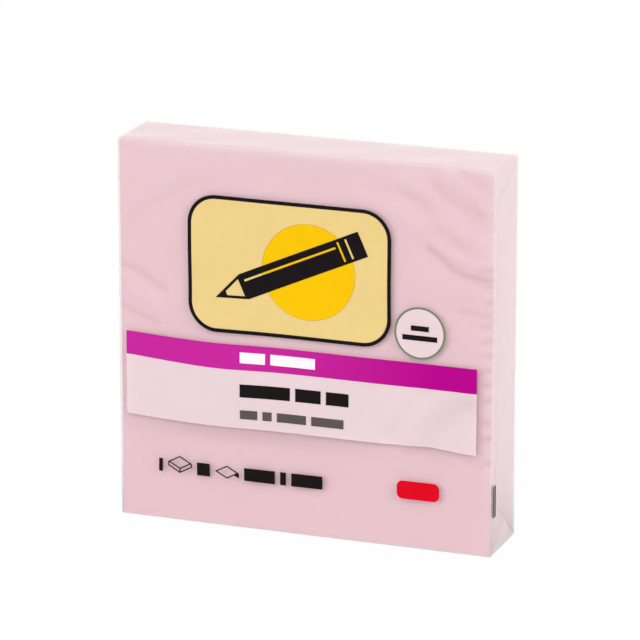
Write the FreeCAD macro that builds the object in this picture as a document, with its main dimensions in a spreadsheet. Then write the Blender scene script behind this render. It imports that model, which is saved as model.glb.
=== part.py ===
import FreeCAD, Part
import math
import os
import Sketcher

# A pad of square notes, standing on its lower edge in the clear film that it is sold in.
# Millimetres. X runs to the right along the pad, Y to the back and Z up. The printed front
# of the film faces -Y, and the origin is at the middle of the foot.

SIZES = {
    # The stack of sheets, and the faint lines that its cut edges show between groups of sheets
    "sheet_width": 76.0,
    "sheet_height": 76.0,
    "stack_thickness": 14.3,
    "line_pitch": 1.05,
    "line_width": 0.14,
    "line_depth": 0.10,
    # The white sheet that covers the glue of the last note
    "liner_gauge": 0.2,
    # The film, and the air between it and the sheets
    "film_gauge": 0.1,
    "fold_radius": 0.35,
    "front_lift": 0.3,
    "head_slack": 0.6,
    "end_slack": 0.1,
    # The lap seam along the back
    "lap_width": 8.0,
    "lap_level": 38.0,
    # The envelope folds at each end: two tucked ears, then the front flap, then the back flap
    "front_flap_reach": 10.5,
    "front_flap_rise": 5.8,
    "back_flap_reach": 12.5,
    "back_flap_drop": 6.9,
    "back_flap_rise": 10.0,
    "ear_bulge": 1.2,
    "head_ear_back": 6.6,
    "head_ear_front": 9.2,
    "foot_ear_back": 9.4,
    "foot_ear_front": 10.6,
    # Ink on the film, in up to two coats
    "ink_gauge": 0.06,
    "ink_gap": 0.05,
    # The two bands across the front
    "band_left_margin": 1.7,
    "band_right_margin": 3.1,
    "white_band_foot": 20.7,
    "white_band_height": 11.9,
    "magenta_band_height": 4.9,
    # The label above the bands: a rounded plate, a disc and a pencil
    "label_width": 40.0,
    "label_height": 25.6,
    "label_corner": 5.0,
    "label_line": 0.7,
    "label_shift": -2.9,
    "label_above_band": 2.9,
    "disc_diameter": 19.0,
    "disc_shift": 4.0,
    "pencil_length": 33.0,
    "pencil_width": 5.2,
    "pencil_tilt": 24.0,
    "pencil_cone": 6.4,
    "pencil_lead": 2.4,
    "pencil_line": 0.55,
    "pencil_facet": 0.45,
    "pencil_ferrule": 2.2,
    "pencil_eraser": 2.8,
    # The round mark at the right
    "ring_diameter": 10.3,
    "ring_line": 0.35,
    "ring_beside_label": 1.3,
    "ring_level": 44.0,
    "ring_bar_height": 1.0,
    "ring_bar_long": 7.0,
    "ring_bar_short": 3.6,
    "ring_bar_gap": 0.9,
    # The plain red mark at the lower right
    "red_width": 8.6,
    "red_height": 3.6,
    "red_right_margin": 10.5,
    "red_level": 11.9,
    # Plain bars where lines of words would be: a common left edge, and a space between words
    "text_left_margin": 25.4,
    "word_space": 1.1,
    "white_row_height": 2.1,
    "white_word_1": 5.2,
    "white_word_2": 9.2,
    "bold_row_height": 2.6,
    "bold_row_drop": 5.4,
    "bold_word_1": 10.4,
    "bold_word_2": 5.2,
    "bold_word_3": 4.6,
    "grey_row_height": 1.8,
    "grey_row_drop": 9.9,
    "grey_word_1": 3.6,
    "grey_word_2": 1.9,
    "grey_word_3": 6.0,
    "grey_word_4": 6.6,
    # The row of small signs at the foot: a stack, a sheet and bars
    "foot_row_left_margin": 8.3,
    "foot_row_level": 9.9,
    "foot_bar_height": 2.6,
    "foot_word_1": 0.8,
    "foot_word_2": 2.7,
    "foot_word_3": 6.4,
    "foot_word_4": 1.2,
    "foot_word_5": 6.4,
    "sign_width": 5.0,
    "sign_height": 2.7,
    "sign_line": 0.24,
    "sign_thickness": 0.8,
    "sign_curl": 1.0,
    # The small dark bars on the right-hand end
    "end_bar_height": 6.4,
    "end_bar_width": 0.5,
    "end_bar_gap": 0.45,
    "end_bar_back": 0.9,
    "end_bar_level": 8.4,
}

doc = FreeCAD.newDocument("note_pad")
sheet = doc.addObject("Spreadsheet::Sheet", "Sizes")
for row, (alias, number) in enumerate(SIZES.items(), start=1):
    sheet.set(f"A{row}", alias)
    sheet.set(f"B{row}", str(number))
    sheet.setAlias(f"B{row}", alias)
doc.recompute()


def size(formula):
    """The formula with each size's name pointed at its cell. Words are set apart by spaces."""
    words = [f"Sizes.{word}" if word in SIZES else word for word in formula.split()]
    return "(" + " ".join(words) + ")"


def value(formula):
    """What a formula comes to with the sizes as they are."""
    return float(sheet.evalExpression(formula.replace("Sizes.", "")))


def vector(across, up):
    return FreeCAD.Vector(across, up, 0)


# Levels and places that several pieces share. The end wall is two films thick, because the
# folded ears lie double there, and the two coats of ink stand in front of the film.
END_WALL = size("2 * film_gauge")
AIR = size("fold_radius - film_gauge")
INNER_WIDTH = size("sheet_width + 2 * ( end_slack + film_gauge )")
INNER_DEPTH = f"({size('stack_thickness + liner_gauge + front_lift')} + 2 * {AIR})"
INNER_HEIGHT = size("sheet_height + head_slack")
SHELL_WIDTH = f"({INNER_WIDTH} + 2 * {END_WALL})"
SHELL_DEPTH = f"({INNER_DEPTH} + 2 * Sizes.film_gauge)"
SHELL_HEIGHT = f"({INNER_HEIGHT} + 2 * Sizes.film_gauge)"
WHOLE_DEPTH = f"({SHELL_DEPTH} + Sizes.film_gauge + 2 * Sizes.ink_gauge)"
FRONT_FACE = f"(2 * Sizes.ink_gauge - {WHOLE_DEPTH} / 2)"
SHELL_MIDDLE = f"({FRONT_FACE} + {SHELL_DEPTH} / 2)"
STACK_FRONT = f"({FRONT_FACE} + Sizes.film_gauge + {AIR} + Sizes.front_lift)"
LINER_FRONT = f"({STACK_FRONT} + Sizes.stack_thickness)"
SECOND_COAT = f"({FRONT_FACE} - Sizes.ink_gauge)"
BAND_TOP = size("white_band_foot + white_band_height + magenta_band_height")
LABEL_LEVEL = f"({BAND_TOP} + {size('label_above_band + label_height / 2')})"
LABEL_RIGHT = size("label_shift + label_width / 2 + ink_gap + label_line")
RING_MIDDLE = f"({LABEL_RIGHT} + {size('ring_beside_label + ring_diameter / 2')})"
TEXT_LEFT = f"(Sizes.text_left_margin - {SHELL_WIDTH} / 2)"
# The length of a sign's slanted edge over both halves, and how much of an upright one line takes
SIGN_EDGE = "sqrt(Sizes.sign_width ^ 2 + Sizes.sign_height ^ 2)"
SIGN_LINE_UP = f"(Sizes.sign_line * {SIGN_EDGE} / Sizes.sign_width)"


def new_body(name):
    body = doc.addObject("PartDesign::Body", name)
    body.Label = name
    return body


def place(piece, x="0", y="0", z="0"):
    """Binds where a piece stands."""
    piece.setExpression("Placement.Base.x", x)
    piece.setExpression("Placement.Base.y", y)
    piece.setExpression("Placement.Base.z", z)


def new_sketch(body, name, plane, offset=None):
    """A sketch on one of the body's own planes, moved along the plane's normal by offset."""
    sketch = body.newObject("Sketcher::SketchObject", name)
    origin = next(f for f in body.Origin.OriginFeatures if f.Role == plane)
    sketch.AttachmentSupport = (origin, [""])
    sketch.MapMode = "FlatFace"
    if offset:
        sketch.setExpression("AttachmentOffset.Base.z", offset)
    return sketch


def fix_point(sketch, line, end, across, up):
    """Binds one end of a line to its two distances from the sketch's origin."""
    for kind, formula in (("DistanceX", across), ("DistanceY", up)):
        index = sketch.addConstraint(Sketcher.Constraint(kind, -1, 1, line, end, value(formula)))
        sketch.setExpression(f"Constraints[{index}]", formula)


def add_polygon(sketch, corners):
    """A closed outline through corners, each a pair of formulas (across, up)."""
    here = [(value(across), value(up)) for across, up in corners]
    first = sketch.GeometryCount
    for index, start in enumerate(here):
        end = here[(index + 1) % len(here)]
        sketch.addGeometry(Part.LineSegment(vector(*start), vector(*end)))
    for index, (across, up) in enumerate(corners):
        before = first + (index - 1) % len(corners)
        sketch.addConstraint(Sketcher.Constraint("Coincident", before, 2, first + index, 1))
        fix_point(sketch, first + index, 1, across, up)


def rectangle(left, low, width, height):
    """The corners of an upright rectangle, as formulas."""
    right = f"({left} + {width})"
    high = f"({low} + {height})"
    return [(left, low), (right, low), (right, high), (left, high)]


def add_rounded_rectangle(sketch, width, height, radius, foot):
    """A rectangle centred on the upright axis, its foot at a level, with four round corners."""
    half, low, tall, r = value(width) / 2, value(foot), value(height), value(radius)
    turn = math.pi / 2
    first = sketch.GeometryCount
    high = low + tall
    sides = [
        ((-half + r, low), (half - r, low)),
        ((half, low + r), (half, high - r)),
        ((half - r, high), (-half + r, high)),
        ((-half, high - r), (-half, low + r)),
    ]
    centres = [(half - r, low + r), (half - r, high - r), (-half + r, high - r), (-half + r, low + r)]
    for start, end in sides:
        sketch.addGeometry(Part.LineSegment(vector(*start), vector(*end)))
    for quarter, centre in enumerate(centres):
        circle = Part.Circle(vector(*centre), FreeCAD.Vector(0, 0, 1), r)
        sketch.addGeometry(Part.ArcOfCircle(circle, (quarter - 1) * turn, quarter * turn))
    for side in range(4):
        arc = first + 4 + side
        sketch.addConstraint(Sketcher.Constraint("Tangent", first + side, 2, arc, 1))
        sketch.addConstraint(Sketcher.Constraint("Tangent", arc, 2, first + (side + 1) % 4, 1))
    for kind, side in (("Vertical", 1), ("Horizontal", 2), ("Vertical", 3)):
        sketch.addConstraint(Sketcher.Constraint(kind, first + side))
    for other in (5, 6, 7):
        sketch.addConstraint(Sketcher.Constraint("Equal", first + 4, first + other))
    sketch.addConstraint(Sketcher.Constraint("Symmetric", first, 1, first, 2, -2))
    for constraint, formula in (
        (Sketcher.Constraint("Radius", first + 4, r), radius),
        (Sketcher.Constraint("DistanceX", first + 3, 1, first + 1, 1, 2 * half), width),
        (Sketcher.Constraint("DistanceY", first, 1, first + 2, 1, tall), height),
        (Sketcher.Constraint("DistanceY", -1, 1, first, 1, low), foot),
    ):
        index = sketch.addConstraint(constraint)
        sketch.setExpression(f"Constraints[{index}]", formula)


def add_circle(sketch, diameter, across="0"):
    circle = Part.Circle(vector(value(across), 0), FreeCAD.Vector(0, 0, 1), value(diameter) / 2)
    index = sketch.addGeometry(circle)
    fix_point(sketch, index, 3, across, "0")
    constraint = sketch.addConstraint(Sketcher.Constraint("Diameter", index, value(diameter)))
    sketch.setExpression(f"Constraints[{constraint}]", diameter)


def pad(body, name, sketch, length, both_ways=False, backwards=False):
    feature = body.newObject("PartDesign::Pad", name)
    feature.Profile = sketch
    feature.SideType = "Symmetric" if both_ways else "One side"
    feature.Reversed = backwards
    feature.setExpression("Length", length)
    return feature


def pocket(body, name, sketch, length, both_ways=False, backwards=False):
    feature = body.newObject("PartDesign::Pocket", name)
    feature.Profile = sketch
    feature.SideType = "Symmetric" if both_ways else "One side"
    feature.Reversed = backwards
    feature.setExpression("Length", length)
    return feature


def note_block():
    """All the sheets as one block. Shallow grooves round it are the lines in its cut edges."""
    body = new_body("note_block")
    place(body, y=STACK_FRONT, z=size("film_gauge"))
    outline = new_sketch(body, "stack_outline", "XY_Plane")
    half = size("sheet_width / 2")
    add_polygon(outline, rectangle(f"(-{half})", "0", size("sheet_width"), size("stack_thickness")))
    pad(body, "stack", outline, size("sheet_height"))

    first, last = size("line_pitch - line_width / 2"), size("line_pitch + line_width / 2")
    middle, deep = size("line_pitch"), size("line_depth")
    upright = new_sketch(body, "upright_line", "XY_Plane")
    level = new_sketch(body, "level_line", "YZ_Plane")
    tall = size("sheet_height")
    for sign in ("-", ""):
        edge, floor = f"({sign}{half})", f"({sign}({half} - {deep}))"
        add_polygon(upright, [(edge, first), (edge, last), (floor, middle)])
    add_polygon(level, [(first, "0"), (last, "0"), (middle, deep)])
    add_polygon(level, [(first, tall), (last, tall), (middle, f"({tall} - {deep})")])
    uprights = pocket(body, "upright_lines", upright, tall, backwards=True)
    levels = pocket(body, "level_lines", level, size("sheet_width"), both_ways=True)

    repeat = body.newObject("PartDesign::LinearPattern", "all_lines")
    repeat.Originals = [uprights, levels]
    repeat.Direction = (next(f for f in body.Origin.OriginFeatures if f.Role == "Y_Axis"), [""])
    repeat.Mode = "Spacing"
    repeat.setExpression("Offset", size("line_pitch"))
    lines = size("( stack_thickness - line_width ) / line_pitch")
    repeat.setExpression("Occurrences", f"floor({lines})")
    body.Tip = repeat
    return body


def backing_sheet():
    liner = doc.addObject("Part::Box", "backing_sheet")
    liner.Label = "backing_sheet"
    liner.setExpression("Length", size("sheet_width"))
    liner.setExpression("Width", size("liner_gauge"))
    liner.setExpression("Height", size("sheet_height"))
    place(liner, x=size("0 - sheet_width / 2"), y=LINER_FRONT, z=size("film_gauge"))
    return liner


def film_wrap():
    """One folded film: a tube round the block, closed by a lap on the back and by envelope
    folds at both ends. The tube's walls, the ears and the flaps are one solid."""
    body = new_body("film_wrap")
    place(body, y=SHELL_MIDDLE)

    outside = new_sketch(body, "tube_outside", "YZ_Plane")
    add_rounded_rectangle(outside, SHELL_DEPTH, SHELL_HEIGHT, size("fold_radius"), "0")
    tube = pad(body, "tube", outside, SHELL_WIDTH, both_ways=True)
    doc.recompute()

    end = value(SHELL_WIDTH) / 2
    rims = [f"Edge{number}" for number, edge in enumerate(tube.Shape.Edges, start=1)
            if all(abs(abs(corner.X) - end) < 1e-6 for corner in edge.Vertexes)]
    rounded = body.newObject("PartDesign::Fillet", "end_rims")
    rounded.Base = (tube, rims)
    rounded.setExpression("Radius", END_WALL)

    inside = new_sketch(body, "tube_inside", "YZ_Plane")
    add_rounded_rectangle(inside, INNER_DEPTH, INNER_HEIGHT, AIR, size("film_gauge"))
    pocket(body, "hollow", inside, INNER_WIDTH, both_ways=True)

    folds = [ear(body, "head_ear"), ear(body, "foot_ear"), front_flap(body), back_flap(body)]
    left = body.newObject("PartDesign::Mirrored", "left_end_folds")
    left.Originals = folds
    left.MirrorPlane = (next(f for f in body.Origin.OriginFeatures if f.Role == "YZ_Plane"), [""])
    body.Tip = left
    doc.recompute()

    lap = new_sketch(body, "lap_outline", "XZ_Plane", f"(-{SHELL_DEPTH} / 2)")
    length = f"({SHELL_WIDTH} - 2 * {END_WALL})"
    low = size("lap_level - lap_width / 2")
    add_polygon(lap, rectangle(f"(-{length} / 2)", low, length, size("lap_width")))
    pad(body, "back_lap", lap, size("film_gauge"), backwards=True)
    return body


def ear(body, name):
    """A tucked ear: the end of the head or foot of the tube, folded down inside the end wall.
    Its free edge is a shallow arc that slopes from the back of the pack to the front."""
    wall = f"({INNER_WIDTH} / 2 - Sizes.film_gauge)"
    half = f"({INNER_DEPTH} / 2 - {AIR})"
    root = f"(Sizes.film_gauge + {INNER_HEIGHT})" if name == "head_ear" else size("film_gauge")
    turn = "-" if name == "head_ear" else "+"
    front_up = f"({root} {turn} Sizes.{name}_front)"
    back_up = f"({root} {turn} Sizes.{name}_back)"
    sketch = new_sketch(body, name + "_outline", "YZ_Plane", wall)
    corners = [(f"(-{half})", front_up), (f"(-{half})", root), (half, root), (half, back_up)]
    here = [vector(value(across), value(up)) for across, up in corners]
    for start, finish in zip(here, here[1:]):
        sketch.addGeometry(Part.LineSegment(start, finish))
    middle_up = f"(({front_up} + {back_up}) / 2 {turn} Sizes.ear_bulge)"
    bulge = vector(0, value(middle_up))
    ends = [(0, 1), (2, 2)] if name == "head_ear" else [(2, 2), (0, 1)]
    start, finish = (here[0], here[3]) if name == "head_ear" else (here[3], here[0])
    arc = sketch.addGeometry(Part.Arc(start, bulge, finish))
    for line in (1, 2):
        sketch.addConstraint(Sketcher.Constraint("Coincident", line - 1, 2, line, 1))
    for line, end, (across, up) in ((0, 1, corners[0]), (1, 1, corners[1]), (2, 1, corners[2]),
                                    (2, 2, corners[3])):
        fix_point(sketch, line, end, across, up)
    for arc_end, (line, line_end) in enumerate(ends, start=1):
        sketch.addConstraint(Sketcher.Constraint("Coincident", arc, arc_end, line, line_end))
    crest = sketch.addGeometry(Part.Point(bulge))
    sketch.setConstruction(crest, True)
    sketch.addConstraint(Sketcher.Constraint("PointOnObject", crest, 1, arc))
    fix_point(sketch, crest, 1, "0", middle_up)
    return pad(body, name, sketch, size("film_gauge"))


def front_flap(body):
    """The flap that comes round from the front, with its two slanted fold lines."""
    root = f"({END_WALL} - {SHELL_DEPTH} / 2)"
    reach = f"({root} + Sizes.front_flap_reach)"
    low, high = END_WALL, f"({SHELL_HEIGHT} - {END_WALL})"
    corners = [
        (root, low),
        (reach, f"({low} + Sizes.front_flap_rise)"),
        (reach, f"({high} - Sizes.front_flap_rise)"),
        (root, high),
    ]
    sketch = new_sketch(body, "front_flap_outline", "YZ_Plane", f"({SHELL_WIDTH} / 2)")
    add_polygon(sketch, corners)
    return pad(body, "front_flap", sketch, size("film_gauge"))


def back_flap(body):
    """The flap that comes round from the back. It lies over the front flap, and past that
    flap's free edge it is sealed down, so there the step under it is filled."""
    root = f"({SHELL_DEPTH} / 2 - {END_WALL})"
    reach = f"({root} - Sizes.back_flap_reach)"
    low, high = END_WALL, f"({SHELL_HEIGHT} - {END_WALL})"
    corners = [
        (root, low),
        (root, high),
        (reach, f"({high} - Sizes.back_flap_drop)"),
        (reach, f"({low} + Sizes.back_flap_rise)"),
    ]
    sketch = new_sketch(body, "back_flap_outline", "YZ_Plane", f"({SHELL_WIDTH} / 2)")
    add_polygon(sketch, corners)
    return pad(body, "back_flap", sketch, size("2 * film_gauge"))


def print_body(name, x, z, coat=FRONT_FACE):
    """A body for a field of ink whose back lies on the film, or on the coat under it."""
    body = new_body(name)
    place(body, x=x, y=coat, z=z)
    return body


def finish_print(body, sketch):
    pad(body, body.Label + "_ink", sketch, size("ink_gauge"))
    return body


def band(name, foot, height):
    left = f"(Sizes.band_left_margin - {SHELL_WIDTH} / 2)"
    width = f"({SHELL_WIDTH} - {size('band_left_margin + band_right_margin')})"
    body = print_body(name, left, foot)
    sketch = new_sketch(body, name + "_outline", "XZ_Plane")
    add_polygon(sketch, rectangle("0", "0", width, height))
    return finish_print(body, sketch)


def bands():
    white = band("band_white", size("white_band_foot"), size("white_band_height"))
    magenta = band("band_magenta", size("white_band_foot + white_band_height"), size("magenta_band_height"))
    return [white, magenta]


def label_plate():
    """The plate, left open where the disc is printed."""
    body = print_body("label_plate", size("label_shift"), LABEL_LEVEL)
    sketch = new_sketch(body, "label_plate_outline", "XZ_Plane")
    add_rounded_rectangle(sketch, size("label_width"), size("label_height"), size("label_corner"),
                          size("0 - label_height / 2"))
    add_circle(sketch, size("disc_diameter + 2 * ink_gap"), size("disc_shift"))
    return finish_print(body, sketch)


def label_outline():
    """The dark line round the plate, a hair outside it."""
    body = print_body("label_outline", size("label_shift"), LABEL_LEVEL)
    sketch = new_sketch(body, "label_line_outline", "XZ_Plane")
    for beyond in ("ink_gap", "( ink_gap + label_line )"):
        width, height = size(f"label_width + 2 * {beyond}"), size(f"label_height + 2 * {beyond}")
        add_rounded_rectangle(sketch, width, height, size(f"label_corner + {beyond}"),
                              size(f"0 - label_height / 2 - {beyond}"))
    return finish_print(body, sketch)


def label_disc():
    body = print_body("label_disc", size("label_shift + disc_shift"), LABEL_LEVEL)
    sketch = new_sketch(body, "label_disc_outline", "XZ_Plane")
    add_circle(sketch, size("disc_diameter"))
    return finish_print(body, sketch)


def label_pencil():
    """A pencil seen from its side, in line: windows leave the bare wood of its cone, the light
    along one facet and the two rings of its ferrule."""
    body = print_body("label_pencil", size("label_shift"), LABEL_LEVEL, SECOND_COAT)
    body.Placement = FreeCAD.Placement(FreeCAD.Vector(), FreeCAD.Rotation(FreeCAD.Vector(0, -1, 0), 1))
    body.setExpression("Placement.Rotation.Angle", "Sizes.pencil_tilt")
    sketch = new_sketch(body, "label_pencil_outline", "XZ_Plane")

    tip, tail = size("0 - pencil_length / 2"), size("pencil_length / 2")
    half, line = size("pencil_width / 2"), "Sizes.pencil_line"
    shoulder = f"({tip} + Sizes.pencil_cone)"
    add_polygon(sketch, [(tip, "0"), (shoulder, f"(-{half})"), (tail, f"(-{half})"),
                         (tail, half), (shoulder, half)])

    slope = f"({half} / Sizes.pencil_cone)"
    lead_half = f"(Sizes.pencil_lead * {slope} - {line})"
    wood_half = f"((Sizes.pencil_cone - {line}) * {slope} - {line})"
    lead_end, wood_end = f"({tip} + Sizes.pencil_lead)", f"({shoulder} - {line})"
    add_polygon(sketch, [(lead_end, f"(-{lead_half})"), (wood_end, f"(-{wood_half})"),
                         (wood_end, wood_half), (lead_end, lead_half)])

    ferrule_end = f"({tail} - Sizes.pencil_eraser)"
    ferrule_start = f"({ferrule_end} - Sizes.pencil_ferrule)"
    facet_start = f"({shoulder} + {line})"
    facet_low = size("pencil_width / 6")
    add_polygon(sketch, rectangle(facet_start, facet_low, f"({ferrule_start} - {line} - {facet_start})",
                                  "Sizes.pencil_facet"))
    ferrule_low, ferrule_height = f"({line} - {half})", f"(2 * ({half} - {line}))"
    for left in (ferrule_start, f"({ferrule_end} - Sizes.pencil_facet)"):
        add_polygon(sketch, rectangle(left, ferrule_low, "Sizes.pencil_facet", ferrule_height))
    return finish_print(body, sketch)


def ring_mark():
    """The thin ring and the pale ground inside it."""
    ring = print_body("ring_line", RING_MIDDLE, size("ring_level"))
    sketch = new_sketch(ring, "ring_line_outline", "XZ_Plane")
    inner = size("ring_diameter - 2 * ring_line")
    add_circle(sketch, size("ring_diameter"))
    add_circle(sketch, inner)
    ground = print_body("ring_ground", RING_MIDDLE, size("ring_level"))
    disc = new_sketch(ground, "ring_ground_outline", "XZ_Plane")
    add_circle(disc, f"({inner} - 2 * Sizes.ink_gap)")
    return [finish_print(ring, sketch), finish_print(ground, disc)]


def red_mark():
    """A plain bar with round ends."""
    middle = f"({SHELL_WIDTH} / 2 - {size('red_right_margin + red_width / 2')})"
    body = print_body("red_mark", middle, size("red_level"))
    sketch = new_sketch(body, "red_mark_outline", "XZ_Plane")
    add_rounded_rectangle(sketch, size("red_width"), size("red_height"), size("red_height / 3"),
                          size("0 - red_height / 2"))
    return finish_print(body, sketch)


def bar(name, left, low, width, height, coat):
    box = doc.addObject("Part::Box", name)
    for side, formula in (("Length", width), ("Width", "Sizes.ink_gauge"), ("Height", height)):
        box.setExpression(side, formula)
    place(box, left, f"({coat} - Sizes.ink_gauge)", low)
    return box


def bar_row(name, words, low, height, coat=SECOND_COAT):
    """Bars in place of the words of one line, from the common left edge."""
    bars, left = [], TEXT_LEFT
    for word in words:
        bars.append(bar(f"{name}_{word}", left, low, f"Sizes.{word}", height, coat))
        left = f"({left} + Sizes.{word} + Sizes.word_space)"
    return bars


def group(name, pieces):
    """One node for islands of the same ink."""
    compound = doc.addObject("Part::Compound", name)
    compound.Label = name
    compound.Links = pieces
    return compound


def band_rows():
    white_top = size("white_band_foot + white_band_height")
    white_low = f"({white_top} + {size('magenta_band_height - white_row_height')} / 2)"
    white = bar_row("white", ["white_word_1", "white_word_2"], white_low, "Sizes.white_row_height")
    bold_low = f"({white_top} - Sizes.bold_row_drop)"
    bold = bar_row("bold", ["bold_word_1", "bold_word_2", "bold_word_3"], bold_low, "Sizes.bold_row_height")
    grey_words = [f"grey_word_{number}" for number in range(1, 5)]
    grey = bar_row("grey", grey_words, f"({white_top} - Sizes.grey_row_drop)", "Sizes.grey_row_height")
    return [group("bars_white", white), group("bars_dark", bold), group("bars_grey", grey)]


def ring_bars():
    """Two short lines of bars inside the ring, one over the other."""
    high = "Sizes.ring_bar_height"
    rows = [("ring_bar_short", f"(Sizes.ring_level + Sizes.ring_bar_gap / 2)"),
            ("ring_bar_long", f"(Sizes.ring_level - Sizes.ring_bar_gap / 2 - {high})")]
    bars = []
    for word, low in rows:
        left = f"({RING_MIDDLE} - Sizes.{word} / 2)"
        bars.append(bar(f"ring_{word}", left, low, f"Sizes.{word}", high, SECOND_COAT))
    return group("ring_bars", bars)


def rhombus_window(foot):
    """The corners of a rhombus a line's width inside the top of a sign."""
    wide, high, line = "Sizes.sign_width", "Sizes.sign_height", "Sizes.sign_line"
    across = f"({wide} / 2 - {line} * {SIGN_EDGE} / {high})"
    up = f"({high} / 2 - {SIGN_LINE_UP})"
    middle, level = f"({wide} / 2)", f"({foot} + {high} / 2)"
    return [
        (f"({middle} - {across})", level),
        (middle, f"({level} - {up})"),
        (f"({middle} + {across})", level),
        (middle, f"({level} + {up})"),
    ]


def sheet_sign(left):
    """One sheet seen from a corner, in line, with its near corner curling up."""
    body = print_body("sign_sheet", left, "Sizes.foot_row_level")
    sketch = new_sketch(body, "sign_sheet_outline", "XZ_Plane")
    wide, high, curl = "Sizes.sign_width", "Sizes.sign_height", "Sizes.sign_curl"
    add_polygon(sketch, [
        ("0", f"({high} / 2)"),
        (f"({wide} / 2)", "0"),
        (f"({wide} - {curl})", f"(({wide} / 2 - {curl}) * {high} / {wide})"),
        (wide, f"({high} / 2 - {curl})"),
        (wide, f"({high} / 2)"),
        (f"({wide} / 2)", high),
    ])
    add_polygon(sketch, rhombus_window("0"))
    return finish_print(body, sketch)


def stack_sign(left):
    """A stack of sheets seen from a corner, in line: its top and its two near sides."""
    body = print_body("sign_stack", left, "Sizes.foot_row_level")
    sketch = new_sketch(body, "sign_stack_outline", "XZ_Plane")
    wide, high = "Sizes.sign_width", "Sizes.sign_height"
    line, thick = "Sizes.sign_line", "Sizes.sign_thickness"
    middle = f"({wide} / 2)"
    add_polygon(sketch, [
        ("0", f"({high} / 2)"),
        (middle, "0"),
        (wide, f"({high} / 2)"),
        (wide, f"({thick} + {high} / 2)"),
        (middle, f"({thick} + {high})"),
        ("0", f"({thick} + {high} / 2)"),
    ])
    add_polygon(sketch, rhombus_window(thick))
    # The window in each near side: a slanted strip, high at its outer end
    slope, tall = f"({high} / {wide})", f"({thick} - {SIGN_LINE_UP})"
    outer_up = f"({SIGN_LINE_UP} + {high} / 2 - {line} * {slope})"
    inner_up = f"({SIGN_LINE_UP} + {line} / 2 * {slope})"
    for outer, inner in ((line, f"({middle} - {line} / 2)"),
                         (f"({wide} - {line})", f"({middle} + {line} / 2)")):
        add_polygon(sketch, [(outer, outer_up), (inner, inner_up),
                             (inner, f"({inner_up} + {tall})"), (outer, f"({outer_up} + {tall})")])
    return finish_print(body, sketch)


def foot_row():
    """The row at the foot, from the left: a bar, the stack, a bar, the sheet and three bars."""
    left, pieces, bars = f"(Sizes.foot_row_left_margin - {SHELL_WIDTH} / 2)", [], []
    space = "Sizes.word_space"
    row = ["foot_word_1", stack_sign, "foot_word_2", sheet_sign, "foot_word_3", "foot_word_4", "foot_word_5"]
    for item in row:
        if callable(item):
            pieces.append(item(left))
            width = "Sizes.sign_width"
        else:
            width = f"Sizes.{item}"
            bars.append(bar(item + "_bar", left, "Sizes.foot_row_level", width, "Sizes.foot_bar_height",
                            FRONT_FACE))
        left = f"({left} + {width} + {space})"
    return pieces + [group("foot_bars", bars)]


def end_bars():
    """Two upright bars on the front flap of the right-hand end."""
    bars = []
    back = f"({FRONT_FACE} + Sizes.end_bar_back)"
    for number in (1, 2):
        box = doc.addObject("Part::Box", f"end_bar_{number}")
        for side, formula in (("Length", "Sizes.ink_gauge"), ("Width", "Sizes.end_bar_width"),
                              ("Height", "Sizes.end_bar_height")):
            box.setExpression(side, formula)
        place(box, f"({SHELL_WIDTH} / 2 + Sizes.film_gauge)", back, "Sizes.end_bar_level")
        back = f"({back} + Sizes.end_bar_width + Sizes.end_bar_gap)"
        bars.append(box)
    return group("end_bars", bars)


def check(pieces):
    """Stops if any object failed, or any piece is empty or not valid."""
    for item in doc.Objects:
        if "Invalid" in item.State or "Error" in item.State:
            raise RuntimeError(f"{item.Label} failed: {item.State}")
    for piece in pieces:
        if piece.Shape.isNull() or not piece.Shape.isValid() or piece.Shape.Volume <= 0:
            raise RuntimeError(f"{piece.Label} has no valid shape")


pieces = [
    note_block(),
    backing_sheet(),
    film_wrap(),
    *bands(),
    label_plate(),
    label_outline(),
    label_disc(),
    label_pencil(),
    *ring_mark(),
    ring_bars(),
    red_mark(),
    *band_rows(),
    *foot_row(),
    end_bars(),
]
doc.recompute()
check(pieces)

os.makedirs("parts", exist_ok=True)
for piece in pieces:
    piece.Shape.exportStep(f"parts/{piece.Label}.step")
    box = piece.Shape.BoundBox
    print(f"{piece.Label}: {len(piece.Shape.Solids)} solid(s), {piece.Shape.Volume:.2f} mm3, "
          f"x {box.XMin:.2f} to {box.XMax:.2f}, y {box.YMin:.2f} to {box.YMax:.2f}, "
          f"z {box.ZMin:.2f} to {box.ZMax:.2f}")
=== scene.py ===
# %% [markdown]
# # A pad of sticky notes in its clear film
# A square pad of pink notes stands on its lower edge, still in the printed film it is sold in.
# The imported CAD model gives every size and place. This script dresses it: real sheets of paper,
# a film with slack and wrinkles, and print that follows the film.

import math

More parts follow.
